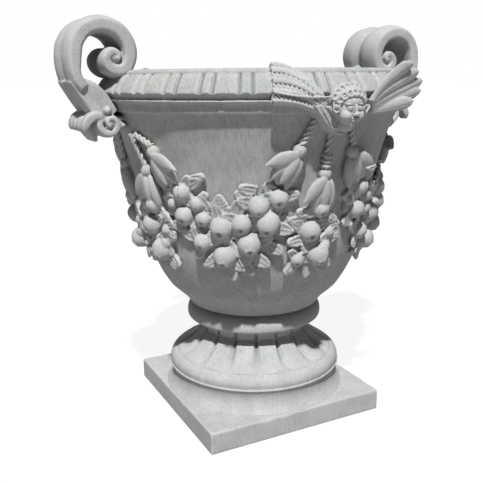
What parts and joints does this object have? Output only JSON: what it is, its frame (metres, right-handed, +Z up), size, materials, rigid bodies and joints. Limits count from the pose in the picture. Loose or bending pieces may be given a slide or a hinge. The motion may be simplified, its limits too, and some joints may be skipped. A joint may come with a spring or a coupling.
{
  "type": "footed urn planter",
  "caption": "Footed cast-stone urn planter with scroll handles, winged cherub masks and fruit swags; its bowl lifts off a square-based pedestal.",
  "frame": {"origin": "middle of the plinth's underside, where the urn stands on the ground", "axes": "+Z up along the urn's axis; the masks face -Y and +Y, the handles stand at -X and +X"},
  "size_m": [0.7912, 0.7196, 0.82],
  "materials": {
    "concrete": "dry cast concrete, matt, with pinholes and worn edges",
    "mortar": "matt cement mortar",
    "pipe": "matt grey pipe",
    "steel": "plain steel rod"
  },
  "bodies": {
    "pedestal": {"plinth": "concrete", "plinth_bed": "mortar", "foot": "concrete", "neck_bed": "mortar", "neck_ring": "concrete", "drain_tube": "pipe", "seat_dowels": "steel"},
    "bowl": {"bowl": "concrete", "handle_right": "concrete", "handle_left": "concrete", "handle_dowels_right": "steel", "handle_dowels_left": "steel", "mask_front": "concrete", "mask_back": "concrete", "apron_front": "concrete", "apron_back": "concrete", "ropes_front": "concrete", "ropes_back": "concrete", "ropes_left": "concrete", "ropes_right": "concrete", "wing_front_left": "concrete", "wing_front_right": "concrete", "wing_back_left": "concrete", "wing_back_right": "concrete", "swag_front_left": "concrete", "swag_front_right": "concrete", "swag_back_left": "concrete", "swag_back_right": "concrete", "drop_front": "concrete", "drop_back": "concrete", "drop_left_front": "concrete", "drop_left_back": "concrete", "drop_right_front": "concrete", "drop_right_back": "concrete"}
  },
  "joints": [
    {"name": "bowl_lift", "type": "slide", "parent": "pedestal", "child": "bowl", "axis": [0, 0, 1], "range_m": [0, 0.12]}
  ]
}
